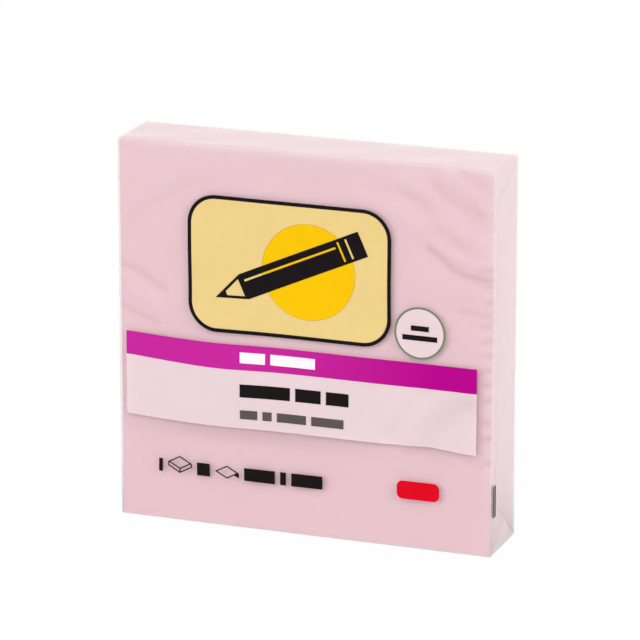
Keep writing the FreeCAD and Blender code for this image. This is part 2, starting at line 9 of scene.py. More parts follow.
import bpy
import numpy as np
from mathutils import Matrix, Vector


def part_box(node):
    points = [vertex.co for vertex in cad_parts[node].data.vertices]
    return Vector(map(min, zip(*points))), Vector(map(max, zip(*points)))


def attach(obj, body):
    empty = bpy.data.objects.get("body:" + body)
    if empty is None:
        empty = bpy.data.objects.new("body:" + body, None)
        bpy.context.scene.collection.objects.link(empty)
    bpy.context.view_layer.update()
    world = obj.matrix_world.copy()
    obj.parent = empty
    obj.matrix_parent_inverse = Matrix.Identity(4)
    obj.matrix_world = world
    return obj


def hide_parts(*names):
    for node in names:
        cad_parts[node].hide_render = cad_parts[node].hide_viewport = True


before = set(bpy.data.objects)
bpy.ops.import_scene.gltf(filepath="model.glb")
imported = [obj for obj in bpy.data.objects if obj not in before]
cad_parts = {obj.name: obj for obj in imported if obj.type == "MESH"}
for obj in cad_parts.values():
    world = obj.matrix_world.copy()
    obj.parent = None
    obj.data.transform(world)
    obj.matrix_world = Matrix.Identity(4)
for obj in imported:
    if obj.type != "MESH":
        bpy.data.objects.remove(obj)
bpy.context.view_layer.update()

# %% [markdown]
# ## Working in millimetres
# Blender works in metres here, and a note pad is easier to think about in millimetres. These
# helpers read and move a mesh's points in millimetres, and keep the selection tidy, because
# every operator acts on all that is selected.

# %% Selection and points
MM = 0.001


def select_only(*pieces):
    for other in list(bpy.context.selected_objects):
        other.select_set(False)
    for piece in pieces:
        piece.select_set(True)
        bpy.context.view_layer.objects.active = piece


def points_of(piece):
    """The mesh's points in millimetres, one row each."""
    flat = np.empty(len(piece.data.vertices) * 3)
    piece.data.vertices.foreach_get("co", flat)
    return flat.reshape(-1, 3) / MM


def move_points(piece, points):
    piece.data.vertices.foreach_set("co", (np.asarray(points) * MM).ravel())
    piece.data.update()


def start_edit(piece):
    select_only(piece)
    bpy.ops.object.mode_set(mode="EDIT")
    bpy.ops.mesh.select_all(action="SELECT")


def end_edit():
    bpy.ops.object.mode_set(mode="OBJECT")


def store(piece, name, values):
    """Keeps one number at each point of the mesh, for a material to read."""
    layer = piece.data.attributes.new(name, "FLOAT", "POINT")
    layer.data.foreach_set("value", np.asarray(values, np.float32))


def box_of(node):
    """The lowest and highest corners of a CAD node, in millimetres."""
    low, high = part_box(node)
    return np.array(low) / MM, np.array(high) / MM


film_low, film_high = box_of("film_wrap")
block_low, block_high = box_of("note_block")
print("film", film_low.round(2), film_high.round(2))
print("block", block_low.round(2), block_high.round(2))

# %% [markdown]
# ## The stack of notes
# The pad is ninety sheets of paper, each about 0.15 mm thick, glued along one edge and cut
# with a guillotine. One box could stand for it, with lines painted on. Here one sheet is
# modelled, copied and stacked, because no cut is perfect: each sheet stands a few hundredths
# of a millimetre out or in, and that is what draws the fine lines in the edges of a real pad.

# %% One sheet
SHEETS = 90
FRONT_GAP = 0.30  # mm from the front of the CAD block to the first sheet
SHEET_BEVEL = 0.02
depth = block_high[1] - block_low[1] - FRONT_GAP
sheet_gauge = depth / SHEETS
print(f"a sheet is {sheet_gauge:.3f} mm thick")

select_only()
bpy.ops.mesh.primitive_cube_add(size=1, scale=(
    (block_high[0] - block_low[0]) * MM, sheet_gauge * MM, (block_high[2] - block_low[2]) * MM))
bpy.ops.object.transform_apply(location=True, rotation=True, scale=True)
sheet = bpy.context.object
start_edit(sheet)
bpy.ops.mesh.bevel(offset=SHEET_BEVEL * MM, offset_type="OFFSET", segments=1)
end_edit()
print("one sheet:", len(sheet.data.polygons), "faces")

# %% [markdown]
# The guillotine leaves groups of sheets a hair apart as well as single ones, so each sheet's
# offset is a slow wave along the stack plus a small step of its own. Sheets only ever move up
# from the lower edge, because the whole pad stands on it.

# %% Copy and stack the sheets
SLOW_WAVES = [(0.020, 0.83, 0.0), (0.012, 2.17, 1.0)]  # (mm, turn a sheet, start)
SMALL_STEP = 0.01
LIFT = 0.05  # keeps every offset above the lower edge
single = points_of(sheet)
middle_up = (block_low[2] + block_high[2]) / 2
copies = []
for number in range(SHEETS):
    copy = bpy.data.objects.new(f"sheet_{number + 1}", sheet.data.copy())
    bpy.context.scene.collection.objects.link(copy)
    slow = sum(size * math.sin(number * turn + start) for size, turn, start in SLOW_WAVES)
    step = ((number * 37) % 11 - 5) / 5 * SMALL_STEP
    points = single.copy()
    points[:, 0] += slow + step
    points[:, 1] += block_high[1] - (SHEETS - number - 0.5) * sheet_gauge
    points[:, 2] += middle_up + LIFT + slow - step
    move_points(copy, points)
    copies.append(copy)
select_only(*copies)
bpy.ops.object.join()
notes = bpy.context.object
notes.name = "note_sheets"
bpy.data.objects.remove(sheet)
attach(notes, "root")
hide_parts("note_block")
print("the stack:", len(notes.data.polygons), "faces")

# %% [markdown]
# ## The slack of the film
# The film is a thin polypropylene sheet, wrapped loosely round the pad: it floats up to a
# millimetre off the paper and lies in soft wrinkles that fan out from the corners. All that is
# on the film, walls, flaps and print alike, has to follow the same wrinkles, so the slack is
# written once, as a function of place, and every piece is moved by it. Each wrinkle is a line
# of points, measured on the front in millimetres, with a height and a half width.

# %% The wrinkles of the front
# (rise towards the viewer, half width, line of (x, z))
WRINKLES = [
    # the fan in the upper right corner
    (0.34, 1.7, [(19.8, 73.4), (25.2, 72.5), (27.9, 70.4), (30.6, 67.4), (33.9, 64.4),
                 (37.2, 62.1)]),
    (-0.21, 1.1, [(26.8, 72.8), (29.2, 70.9), (32.8, 69.1), (36.5, 67.5)]),
    (0.26, 1.1, [(29.8, 74.8), (33.1, 73.8), (35.8, 71.4), (37.1, 68.6)]),
    (-0.22, 1.4, [(32.4, 75.6), (37.0, 72.7)]),
    (-0.28, 1.4, [(20.5, 71.1), (23.9, 69.5), (25.9, 67.7), (26.3, 65.9)]),
    (-0.20, 0.9, [(27.0, 64.7), (29.3, 63.7), (33.0, 61.4)]),
    (0.28, 1.5, [(12.2, 69.6), (19.9, 67.9), (22.6, 65.3), (27.3, 65.4), (32.6, 63.7)]),
    (0.26, 1.0, [(27.3, 61.4), (30.7, 59.5), (37.3, 57.6)]),
    (-0.36, 1.1, [(25.4, 60.4), (27.4, 59.3), (30.4, 56.6), (33.1, 55.5), (37.7, 55.0)]),
    (-0.24, 0.9, [(31.9, 48.9), (35.5, 48.2), (38.1, 48.2)]),
    # the upper left
    (0.24, 3.4, [(-35.5, 70.5), (-30.0, 71.0), (-27.0, 70.9)]),
    (0.14, 1.2, [(-26.5, 69.9), (-30.0, 68.2), (-35.8, 63.8)]),
    (-0.18, 1.2, [(-22.3, 69.0), (-26.2, 66.9), (-30.8, 64.2), (-35.5, 60.6)]),
    (-0.12, 0.9, [(-31.5, 61.4), (-28.6, 62.3)]),
    (0.22, 1.0, [(-11.4, 68.3), (-6.6, 68.9), (-1.8, 69.0)]),
    # the left side
    (-0.27, 1.05, [(-37.6, 51.6), (-34.0, 50.3), (-31.2, 48.5), (-28.3, 47.0)]),
    (-0.22, 0.85, [(-38.0, 48.2), (-36.5, 46.9)]),
    (0.20, 1.5, [(-37.0, 47.2), (-33.0, 45.9), (-29.0, 43.9)]),
    (-0.26, 0.95, [(-37.6, 43.1), (-34.0, 41.4), (-29.7, 40.1)]),
    (0.16, 0.9, [(-35.9, 15.5), (-33.4, 12.3)]),
    # the fold across the right of the white band
    (0.34, 1.2, [(22.5, 21.6), (27.9, 26.5), (31.5, 29.2), (33.5, 31.8)]),
    (-0.50, 1.8, [(18.4, 21.5), (21.0, 26.0), (24.3, 30.8)]),
    (-0.16, 0.8, [(25.9, 19.9), (28.0, 18.1)]),
    (-0.16, 0.8, [(34.0, 19.2), (35.7, 17.7)]),
    # broad, low swells
    (0.12, 5.0, [(-6.0, 6.0), (10.0, 4.5), (24.0, 7.0)]),
    (-0.10, 4.0, [(-30.0, 26.0), (-16.0, 22.0)]),
]
# short puckers where the front is drawn round the right-hand edge
PUCKER_LEVELS = [57.0, 53.7, 50.6, 46.0, 43.0, 40.3, 37.1, 34.5, 31.2, 27.0, 23.6, 18.9]
for number, level in enumerate(PUCKER_LEVELS):
    inner_end = (36.2 + 0.3 * (number % 3), level)
    edge_end = (38.3, level + 0.4 - 0.3 * (number % 2))
    WRINKLES.append((-0.30, 0.60, [inner_end, edge_end]))
print(len(WRINKLES), "wrinkles")

# %% [markdown]
# A point's slack is how far it lies behind the foremost plane of the film. The film is drawn in
# where it turns round the edges of the pad. It lies closest to the paper behind the label and
# the ring, and stands off it under the bands. tanh keeps the sum between paper and plane
# without a hard stop.

# %% Slack of each side
MIDDLE_SLACK, SLACK_RANGE = 0.35, 0.33


def bell(offset, half_width):
    """1 where the offset is nothing, dying away to both sides."""
    return np.exp(-((offset / half_width) ** 2))


def fade(distance, reach):
    """1 at an edge, dying away from it."""
    return np.exp(-distance / reach)


def ramp(value, start, end):
    """0 up to start, 1 from end on."""
    return np.clip((value - start) / (end - start), 0, 1)


def from_line(x, z, line):
    """How far each point is from a line of points."""
    nearest = np.full(np.shape(x), np.inf)
    for (x0, z0), (x1, z1) in zip(line, line[1:]):
        run, rise = x1 - x0, z1 - z0
        along = np.clip(((x - x0) * run + (z - z0) * rise) / (run * run + rise * rise), 0, 1)
        nearest = np.minimum(nearest, np.hypot(x - x0 - along * run, z - z0 - along * rise))
    return nearest


def from_edge(x, z):
    sides = [x - film_low[0], film_high[0] - x, z, film_high[2] - z]
    return np.clip(np.minimum.reduce(sides), 0, None)


def wrinkle_height(x, z):
    height = 0.05 * np.sin(0.21 * x + 0.33 * z) + 0.04 * np.sin(0.41 * z - 0.13 * x + 1.0)
    for rise, half_width, line in WRINKLES:
        height = height + rise * bell(from_line(x, z, line), half_width)
    return height


def front_slack(x, z):
    bands = bell(z - 26.0, 8.0)
    label = bell(z - 49.0, 13.0) * bell(x + 3.0, 20.0)
    ring = bell(z - 43.5, 7.0) * bell(x - 26.2, 7.0)
    slack = 0.24 + 0.12 * fade(from_edge(x, z), 1.2) - 0.16 * bands + 0.34 * label + 0.14 * ring
    slack = slack - wrinkle_height(x, z)
    return MIDDLE_SLACK + SLACK_RANGE * np.tanh((slack - MIDDLE_SLACK) / SLACK_RANGE)


def back_slack(x, z):
    slack = 0.06 + 0.08 * fade(from_edge(x, z), 3.0)
    slack = slack + 0.03 * np.sin(0.23 * x + 0.9) * np.cos(0.19 * z)
    slack = slack + 0.02 * np.sin(0.16 * x - 0.28 * z)
    return slack + 0.025 * bell(z - 38.0, 9.0) * (1 + np.sin(0.62 * x))


def head_slack(x, y):
    return 0.32 + 0.04 * np.sin(0.19 * x + 0.4) + 0.03 * np.sin(0.33 * x - 0.5 * y)


def end_slack(y, z):
    return 0.01 + 0.01 * np.sin(0.21 * z + 0.5 * y)


def settle(points):
    """Moves points of the film, or of the print on it, inwards by the slack of their side."""
    points = np.array(points, float)
    x, y, z = points.T.copy()
    front, back = ramp(-y, 3.0, 7.0), ramp(y, 3.0, 7.0)
    head, end = ramp(z, 71.0, 76.0), ramp(np.abs(x), 36.0, 38.1)
    points[:, 0] -= np.sign(x) * end * end_slack(y, z)
    points[:, 1] += front * front_slack(x, z) - back * back_slack(x, z)
    points[:, 2] -= head * head_slack(x, y)
    return points


sampled = front_slack(*np.meshgrid(np.linspace(film_low[0], film_high[0], 200),
                                   np.linspace(0, film_high[2], 200)))
print(f"front slack from {sampled.min():.2f} to {sampled.max():.2f} mm")

# %% [markdown]
# ## The film
# The real film is cut flat, rolled round the pad, and closed by folds at its two ends. A box
# with wrinkles sculpted on it would do, but its faces would be far too coarse at the folds.
# Here the film starts as a flat grid, as it comes off the reel. Its rows are laid round the
# pad, close together on the front and at the folds and far apart on the back, and its columns
# run from end to end, where they turn in to close the tube.

# %% Rows round the pad, columns along it
FOLD, RIM = 0.4, 0.2  # radius of the folds along the tube, and of the rims at its ends
FOLD_STEPS, RIM_STEPS = 6, 5
SEAM_ROOM, FLAP_ROOM = 0.1, 0.32  # for the layers on the back and on each end
FRONT_ROW, HEAD_ROW, BACK_ROW, FOOT_ROW = 0.5, 1.2, 3.0, 2.0  # mm from row to row
STRAIGHT_COLUMNS = 153
INSETS = [6.4, 5.2, 4.1, 3.1, 2.2, 1.5, 0.95, 0.55, 0.35]  # mm in from the wall, on an end
tube_front, tube_back = film_low[1], film_high[1] - SEAM_ROOM
tube_top, tube_end = film_high[2], film_high[0] - FLAP_ROOM


def run_rows(start, end, step):
    """Evenly spaced (y, z) rows from start up to, but not at, end."""
    count = max(1, round(math.dist(start, end) / step))
    run = np.subtract(end, start)
    return [tuple(np.add(start, run * number / count)) for number in range(count)]


def fold_rows(centre, first):
    """Rows round a quarter fold, from the angle at which it starts."""
    turned = [first + math.pi / 2 * number / FOLD_STEPS for number in range(FOLD_STEPS)]
    return [(centre[0] - FOLD * math.cos(a), centre[1] + FOLD * math.sin(a)) for a in turned]


near, far, low_up, high_up = tube_front + FOLD, tube_back - FOLD, FOLD, tube_top - FOLD
rows = run_rows((tube_front, low_up), (tube_front, high_up), FRONT_ROW)
rows += fold_rows((near, high_up), 0)
rows += run_rows((near, tube_top), (far, tube_top), HEAD_ROW)
rows += fold_rows((far, high_up), math.pi / 2)
rows += run_rows((tube_back, high_up), (tube_back, low_up), BACK_ROW)
rows += fold_rows((far, low_up), math.pi)
rows += run_rows((far, 0.0), (near, 0.0), FOOT_ROW)
rows += fold_rows((near, low_up), 3 * math.pi / 2)
rows.append(rows[0])
rows = np.array(rows)

half_depth = (tube_back - tube_front) / 2
turned_in = [(tube_end, inset) for inset in (half_depth, *INSETS)]
for step in range(RIM_STEPS, 0, -1):
    angle = math.pi / 2 * step / RIM_STEPS
    turned_in.append((tube_end - RIM + RIM * math.sin(angle), RIM * (1 - math.cos(angle))))
straight = np.linspace(-(tube_end - RIM), tube_end - RIM, STRAIGHT_COLUMNS)
columns = [(-x, inset) for x, inset in turned_in] + [(x, 0.0) for x in straight] + turned_in[::-1]
columns = np.array(columns)
print(len(rows), "rows and", len(columns), "columns")

# %% [markdown]
# A grid primitive has evenly spaced points. Each one is found again by its row and column, and
# moved to its place on the folded film. Where the columns turn in over an end, the rows close
# up like the corners of an envelope, and points that meet are merged.

# %% Lay a grid
MERGE = 0.002 * MM


def lay_grid(name, column_count, row_count, where):
    """A flat grid whose every point goes where its column and row numbers say, in mm."""
    select_only()
    bpy.ops.mesh.primitive_grid_add(x_subdivisions=column_count - 1,
                                    y_subdivisions=row_count - 1, size=1)
    piece = bpy.context.object
    piece.name = name
    flat = points_of(piece) * MM + 0.5
    column = np.rint(flat[:, 0] * (column_count - 1)).astype(int)
    row = np.rint(flat[:, 1] * (row_count - 1)).astype(int)
    move_points(piece, where(column, row))
    return piece


def on_tube(column, row):
    x, inset = columns[column].T
    y, z = rows[row].T
    corner_y = np.clip(y, near, far)
    corner_z = np.clip(z, low_up, high_up)
    shrink = 1 - np.minimum(inset, FOLD) / FOLD
    y = corner_y + (y - corner_y) * shrink
    z = corner_z + (z - corner_z) * shrink
    y = np.clip(y, tube_front + inset, tube_back - inset)
    z = np.clip(z, inset, tube_top - inset)
    return settle(np.column_stack([x, y, z]))


film = lay_grid("film", len(columns), len(rows), on_tube)
start_edit(film)
bpy.ops.mesh.remove_doubles(threshold=MERGE)
bpy.ops.mesh.select_all(action="SELECT")
bpy.ops.mesh.normals_make_consistent(inside=False)
end_edit()
print("film skin:", len(film.data.vertices), "points")

# %% [markdown]
# Clear film isn't equally clear all over: it has a faint milkiness of its own. Light and shade
# are painted on top of that from the film's shape. A painted highlight runs along its folds and
# cut edges, and the film is painted lighter where a wrinkle rises off the paper. Painted shade,
# a dark mauve tone, lies along the sharp creases and in a broad patch below the white band, where
# the film sags. Two numbers at each point, one for milkiness with painted light and one for
# painted shade, carry that from the shape to the material.

# %% Haze and creases
FILM_GAUGE, FLAP_GAUGE = 0.06, 0.05
SHARP = 1.15  # mm, the half width under which an inward wrinkle counts as a crease


def on_front(points):
    """1 for points of the front wall, 0 for the others."""
    return (points[:, 1] < tube_front + 1.0).astype(float)


def painted_sag_shade(x, z):
    """Painted shade below the white band, where the film sags."""
    return 0.9 * bell(z - 19.0, 1.6) * bell(x + 12.0, 23.0)


def front_haze_and_painted_light(points):
    x, y, z = points.T
    # The film's own milkiness is the 0.025. The rest is painted light: a painted highlight along
    # the head fold and the right-hand fold, lighter film on wrinkles that rise, and a denser veil
    # for the painted shade below the white band.
    painted_fold_highlight = 0.30 * fade(film_high[2] - z, 1.2) + 0.15 * fade(film_high[0] - x, 1.1)
    painted_relief_shading = 0.11 * wrinkle_height(x, z) + 0.06 * painted_sag_shade(x, z)
    haze_and_painted_light = 0.025 + painted_relief_shading * on_front(points) + painted_fold_highlight * bell(y - tube_front, 0.5)
    return np.clip(haze_and_painted_light, 0, 0.4)


def painted_crease_shade(points):
    x, z = points[:, 0], points[:, 2]
    # Painted shade: the film is darkened along sharp inward wrinkles and below the white band.
    painted_shade = painted_sag_shade(x, z)
    for rise, half_width, line in WRINKLES:
        if rise < 0 and half_width < SHARP:
            near_line = bell(from_line(x, z, line), 0.75 * half_width)
            painted_shade = np.maximum(painted_shade, near_line * min(1.0, -rise / 0.35))
    return painted_shade * on_front(points)


def add_gauge(piece, gauge):
    """Gives a skin its thickness, towards its inside."""
    wall = piece.modifiers.new("gauge", "SOLIDIFY")
    wall.thickness = gauge * MM
    wall.offset = -1
    wall.use_even_offset = True
    select_only(piece)
    bpy.ops.object.modifier_apply(modifier=wall.name)
    bpy.ops.object.shade_smooth_by_angle(angle=math.radians(50))


store(film, "haze_and_painted_light", front_haze_and_painted_light(points_of(film)))
store(film, "painted_shade", painted_crease_shade(points_of(film)))
add_gauge(film, FILM_GAUGE)
print("film wall:", len(film.data.polygons), "faces")

# %% [markdown]
# ## The folded ends
# Each end is closed like an envelope. The head and foot of the tube are tucked in first, as
# two ears whose free edges are the film's own cut edge. Then the flap from the front folds
# over, and the flap from the back is sealed on top of it. Each is a small grid drawn to four
# corners, laid in the order that the machine folds them, with a hair of air between layers.

# %% Flaps and ears
FLAP_CELLS, EAR_CELLS = (26, 60), (26, 16)
FRONT_FLAP, BACK_FLAP = 10.5, 12.5  # how far each flap reaches over the end
FRONT_SLANT = 5.8  # how far a flap's free edge is set in, at its two ends
BACK_SLANT_LOW, BACK_SLANT_HIGH = 10.0, 6.9
HEAD_EAR, FOOT_EAR = (9.2, 6.6), (10.6, 9.4)  # how far each ear reaches, in front and at the back
EAR_ROOT = 0.1


def four_corners(corners, across, up):
    """Places between four (y, z) corners: low start, low end, high end, high start."""
    low_start, low_end, high_end, high_start = [np.array(corner) for corner in corners]
    low = low_start + (low_end - low_start) * across[:, None]
    high = high_start + (high_end - high_start) * across[:, None]
    return low + (high - low) * up[:, None]


def edge_distance(places, start, end):
    start, end = np.array(start), np.array(end)
    run = end - start
    along = np.clip(((places - start) @ run) / (run @ run), 0, 1)
    return np.hypot(*(places - start - along[:, None] * run).T)


def face_outwards(piece, axis, side):
    """Flips a skin that faces away from its side."""
    if side * np.mean([polygon.normal[axis] for polygon in piece.data.polygons]) < 0:
        start_edit(piece)
        bpy.ops.mesh.flip_normals()
        end_edit()


def fold_piece(name, side, corners, level, cells):
    """A flap on one end. level gives its outer face's distance from the middle of the pad."""
    def where(column, row):
        y, z = four_corners(corners, column / (cells[0] - 1), row / (cells[1] - 1)).T
        return settle(np.column_stack([side * level(y), y, z]))

    piece = lay_grid(name, cells[0], cells[1], where)
    face_outwards(piece, 0, side)
    flat = points_of(piece)
    inside = np.minimum.reduce([
        edge_distance(flat[:, 1:], corners[index], corners[(index + 1) % 4]) for index in range(4)])
    towards_foot = fade(flat[:, 2], 9.5)
    # A painted highlight along the cut edges of each flap and ear, fainter towards the foot.
    painted_edge_highlight = 0.07 * bell(inside, 0.35) * (1 - 0.9 * towards_foot)
    # Painted shade: towards the foot each flap and ear gets a denser veil in the dark mauve tone.
    # Only the 0.03 is the film's own milkiness.
    painted_foot_shade = 0.10 * towards_foot + 0.10 * fade(flat[:, 2], 3.0)
    store(piece, "haze_and_painted_light", 0.03 + painted_edge_highlight + painted_foot_shade)
    store(piece, "painted_shade", 0.7 * towards_foot)
    add_gauge(piece, FLAP_GAUGE)
    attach(piece, "root")
    return piece


wall_low, wall_high = RIM, tube_top - RIM
root_front, root_back = tube_front + RIM, tube_back - RIM
front_reach, back_reach = root_front + FRONT_FLAP, root_back - BACK_FLAP
front_corners = [(root_front, wall_low), (front_reach, wall_low + FRONT_SLANT),
                 (front_reach, wall_high - FRONT_SLANT), (root_front, wall_high)]
back_corners = [(back_reach, wall_low + BACK_SLANT_LOW), (root_back, wall_low),
                (root_back, wall_high), (back_reach, wall_high - BACK_SLANT_HIGH)]
ear_top = tube_top - EAR_ROOT
head_corners = [(near, ear_top - HEAD_EAR[0]), (far, ear_top - HEAD_EAR[1]),
                (far, ear_top), (near, ear_top)]
foot_corners = [(near, EAR_ROOT), (far, EAR_ROOT),
                (far, EAR_ROOT + FOOT_EAR[1]), (near, EAR_ROOT + FOOT_EAR[0])]


def front_level(y):
    return tube_end + 0.1 * ramp(y, root_front, root_front + 0.8)


def back_level(y):
    beyond_front_flap = ramp(y, front_reach, front_reach + 0.7)
    return tube_end + 0.2 - 0.08 * beyond_front_flap - 0.09 * ramp(y, root_back - 0.8, root_back)


def ear_level(y):
    return np.full(len(y), tube_end - 0.14)


film_pieces = [film]
for side, end_name in ((1, "right"), (-1, "left")):
    film_pieces += [
        fold_piece(f"film_head_ear_{end_name}", side, head_corners, ear_level, EAR_CELLS),
        fold_piece(f"film_foot_ear_{end_name}", side, foot_corners, ear_level, EAR_CELLS),
        fold_piece(f"film_front_flap_{end_name}", side, front_corners, front_level, FLAP_CELLS),
        fold_piece(f"film_back_flap_{end_name}", side, back_corners, back_level, FLAP_CELLS),
    ]
print(len(film_pieces) - 1, "flaps and ears")

# %% [markdown]
# ## The lap seam
# The two long edges of the film overlap along the middle of the back and are sealed together.
# Only the outer layer's lower edge shows as a step, so the strip rises out of the wall at its
# upper edge.

# %% Back seam
LAP_END, LAP_TOP, LAP_WIDTH = 38.2, 42.8, 8.8
LAP_COLUMNS, LAP_ROWS = 90, 12


def on_lap(column, row):
    x = -LAP_END + 2 * LAP_END * column / LAP_COLUMNS
    z = LAP_TOP - LAP_WIDTH * row / LAP_ROWS
    lift = 0.012 * np.sin(0.9 * x) * (row / LAP_ROWS) ** 2
    y = tube_back + 0.01 + 0.075 * ramp(row, 0, 2) + lift
    return settle(np.column_stack([x, y, z]))


lap = lay_grid("film_back_seam", LAP_COLUMNS + 1, LAP_ROWS + 1, on_lap)
face_outwards(lap, 1, 1)
lap_points = points_of(lap)
# The lap's own milkiness is the 0.05; the band along its lower edge is a painted highlight on that
# cut edge.
store(lap, "haze_and_painted_light", 0.05 + 0.08 * bell(lap_points[:, 2] - (LAP_TOP - LAP_WIDTH), 0.5))
store(lap, "painted_shade", np.zeros(len(lap_points)))
add_gauge(lap, FLAP_GAUGE)
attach(lap, "root")
film_pieces.append(lap)

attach(film, "root")
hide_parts("film_wrap")
print("seam:", len(lap.data.polygons), "faces")

# %% [markdown]
# ## Print that follows the film
# The print is ink on the film, so it bends wherever the film does, and it hangs a little above
# the paper and shades it. Its outlines are already true in the CAD model. A copy of each is
# merged, cut into a fine lattice with bisect, and moved by the same slack as the film. The
# film also creeps in its own plane: the two bands sag by half a millimetre left of the middle,
# the flap at the right-hand end has slipped down by about as much, and so has the ring, which
# is pulled a little to the left too.

# %% Bend one field of ink
LATTICE = 0.8
FLAP_PRINT_START, FLAP_SLIP = 38.2, 0.6
RING_SHIFT = 0.56
FOLD_LINE = [(34.0, 31.0), (29.6, 28.8), (26.3, 25.8), (23.6, 21.5)]
FOLD_HALF_WIDTH = 2.3
ring_low, ring_high = box_of("ring_line")
print("ring", ring_low.round(2), ring_high.round(2))


def creep(points):
    """Moves points of the print as far as it has crept with the film."""
    x, z = points[:, 0], points[:, 2]
    sag = 0.80 * bell(x + 40.0, 9.0) - 0.50 * bell(x + 18.0, 9.0)
    hitch = 0.38 * bell(x - 25.5, 3.5) - 0.30 * bell(x - 34.5, 3.5)
    on_the_end = x > FLAP_PRINT_START
    on_the_ring = (x > ring_low[0] - 0.1) & (x < ring_high[0] + 0.1) & (z > ring_low[2] - 0.1)
    points = points.copy()
    points[:, 0] -= RING_SHIFT * on_the_ring
    points[:, 2] += bell(z - 29.0, 11.0) * sag + bell(z - 20.7, 3.5) * hitch
    points[:, 2] -= FLAP_SLIP * on_the_end + RING_SHIFT * on_the_ring
    return points


def painted_fold_shade(points):
    """How much painted shade a point of the print gets, along the fold across the white band and at
    creases.
    """
    x, z = points[:, 0], points[:, 2]
    beside = bell(from_line(x, z, FOLD_LINE), FOLD_HALF_WIDTH) * ramp(z, 18.0, 30.0)
    return np.maximum(beside, 0.6 * painted_crease_shade(points))


def bend_print(node):
    """A copy of a printed field of the CAD model, cut into a lattice and laid on the film."""
    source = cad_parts[node]
    piece = bpy.data.objects.new("printed_" + node, source.data.copy())
    bpy.context.scene.collection.objects.link(piece)
    start_edit(piece)
    bpy.ops.mesh.remove_doubles(threshold=MERGE)
    bpy.ops.mesh.dissolve_limited(angle_limit=math.radians(0.5))
    low, high = box_of(node)
    for axis, across in ((0, Vector((1, 0, 0))), (2, Vector((0, 0, 1)))):
        first = math.ceil(low[axis] / LATTICE) * LATTICE
        for place in np.arange(first, high[axis], LATTICE):
            bpy.ops.mesh.select_all(action="SELECT")
            bpy.ops.mesh.bisect(plane_co=across * float(place) * MM, plane_no=across,
                                threshold=1e-7)
    bpy.ops.mesh.select_all(action="SELECT")
    bpy.ops.mesh.quads_convert_to_tris()
    end_edit()
    move_points(piece, settle(creep(points_of(piece))))
    store(piece, "painted_shade", painted_fold_shade(points_of(piece)))
    select_only(piece)
    bpy.ops.object.shade_smooth_by_angle(angle=math.radians(40))
    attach(piece, "root")
    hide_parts(node)
    return piece


PRINTS = {
    "band_white": "white_ink", "band_magenta": "magenta_ink", "label_plate": "pale_yellow_ink",
    "label_outline": "black_ink", "label_disc": "deep_yellow_ink", "label_pencil": "black_ink",
    "ring_line": "green_ink", "ring_ground": "white_ink", "ring_bars": "black_ink",
    "red_mark": "red_ink", "bars_white": "solid_white_ink", "bars_dark": "black_ink",
    "bars_grey": "grey_ink", "sign_stack": "black_ink", "sign_sheet": "black_ink",
    "foot_bars": "black_ink", "end_bars": "black_ink",
}
prints = {node: bend_print(node) for node, slot in PRINTS.items()}
print_faces = sum(len(piece.data.polygons) for piece in prints.values())
print(len(prints), "fields of ink,", print_faces, "faces")

# %% [markdown]
# ## Colours and nodes
# Colours are written as the sRGB hex values that a paint program shows. Blender's shaders work
# in linear light, so one function turns one into the other. One function adds a node with its
# settings and links, and a few short ones make the groups of nodes that most finishes share.

# %% Helpers for materials
WHITE = (1, 1, 1, 1)


def colour(hex_code):
    parts = [int(hex_code[start:start + 2], 16) / 255 for start in (1, 3, 5)]
    linear = [part / 12.92 if part <= 0.04045 else ((part + 0.055) / 1.055) ** 2.4
              for part in parts]
    return (*linear, 1.0)


def add_node(tree, kind, links=None, **settings):
    """A node with its settings. links gives an input a value or another node's output."""
    node = tree.nodes.new(kind)
    for name, setting in settings.items():
        setattr(node, name, setting)
    for name, source in (links or {}).items():
        if isinstance(source, bpy.types.NodeSocket):
            tree.links.new(source, node.inputs[name])
        else:
            node.inputs[name].default_value = source
    return node


def maths(tree, operation, first, second, **settings):
    return add_node(tree, "ShaderNodeMath", {0: first, 1: second}, operation=operation,
                    **settings).outputs["Value"]


def mixed(tree, factor, at_zero, at_one, **settings):
    """A colour that goes from one to the other as the factor goes from 0 to 1."""
    return add_node(tree, "ShaderNodeMix", {"Factor": factor, 6: at_zero, 7: at_one},
                    data_type="RGBA", **settings).outputs[2]


def noise(tree, place, scale, detail, roughness=0.5):
    return add_node(tree, "ShaderNodeTexNoise", {
        "Vector": place, "Scale": scale, "Detail": detail, "Roughness": roughness}).outputs["Fac"]


def place_on_object(tree):
    return add_node(tree, "ShaderNodeTexCoord").outputs["Object"]


def stored(tree, name):
    """A number that the mesh keeps at each of its points."""
    return add_node(tree, "ShaderNodeAttribute", attribute_name=name).outputs["Fac"]


def seen_directly(tree):
    """1 for rays from the camera, off a mirror or through clear film, 0 for those that light."""
    ray = add_node(tree, "ShaderNodeLightPath").outputs
    seen = maths(tree, "MAXIMUM", ray["Is Camera Ray"], ray["Is Glossy Ray"])
    return maths(tree, "MAXIMUM", seen, ray["Is Transmission Ray"])


def new_finish(name):
    finish = bpy.data.materials.new(name)
    finish.use_nodes = True
    finish.node_tree.nodes.clear()
    return finish, finish.node_tree


def show(tree, surface):
    add_node(tree, "ShaderNodeOutputMaterial", {"Surface": surface})


def dress(piece, *finishes):
    piece.data.materials.clear()
    for finish in finishes:
        piece.data.materials.append(finish)


# %% [markdown]
# ## Pastel paper
# Coloured note paper is uncoated: wood fibres, dyed in the pulp and pressed, so it is dead matt
# and faintly cloudy, with fibres a few tenths of a millimetre long. The guillotined edge of the
# stack shows fibre ends instead of a pressed face, with a line where one sheet's cut differs from
# the next. Its colour is paler than the faces, partly for the fibre ends and partly as painted
# light for the head and the ends of the pad, which are lit more than the front.

# %% Paper faces and cut edges
PAPER_INDEX = 1.45


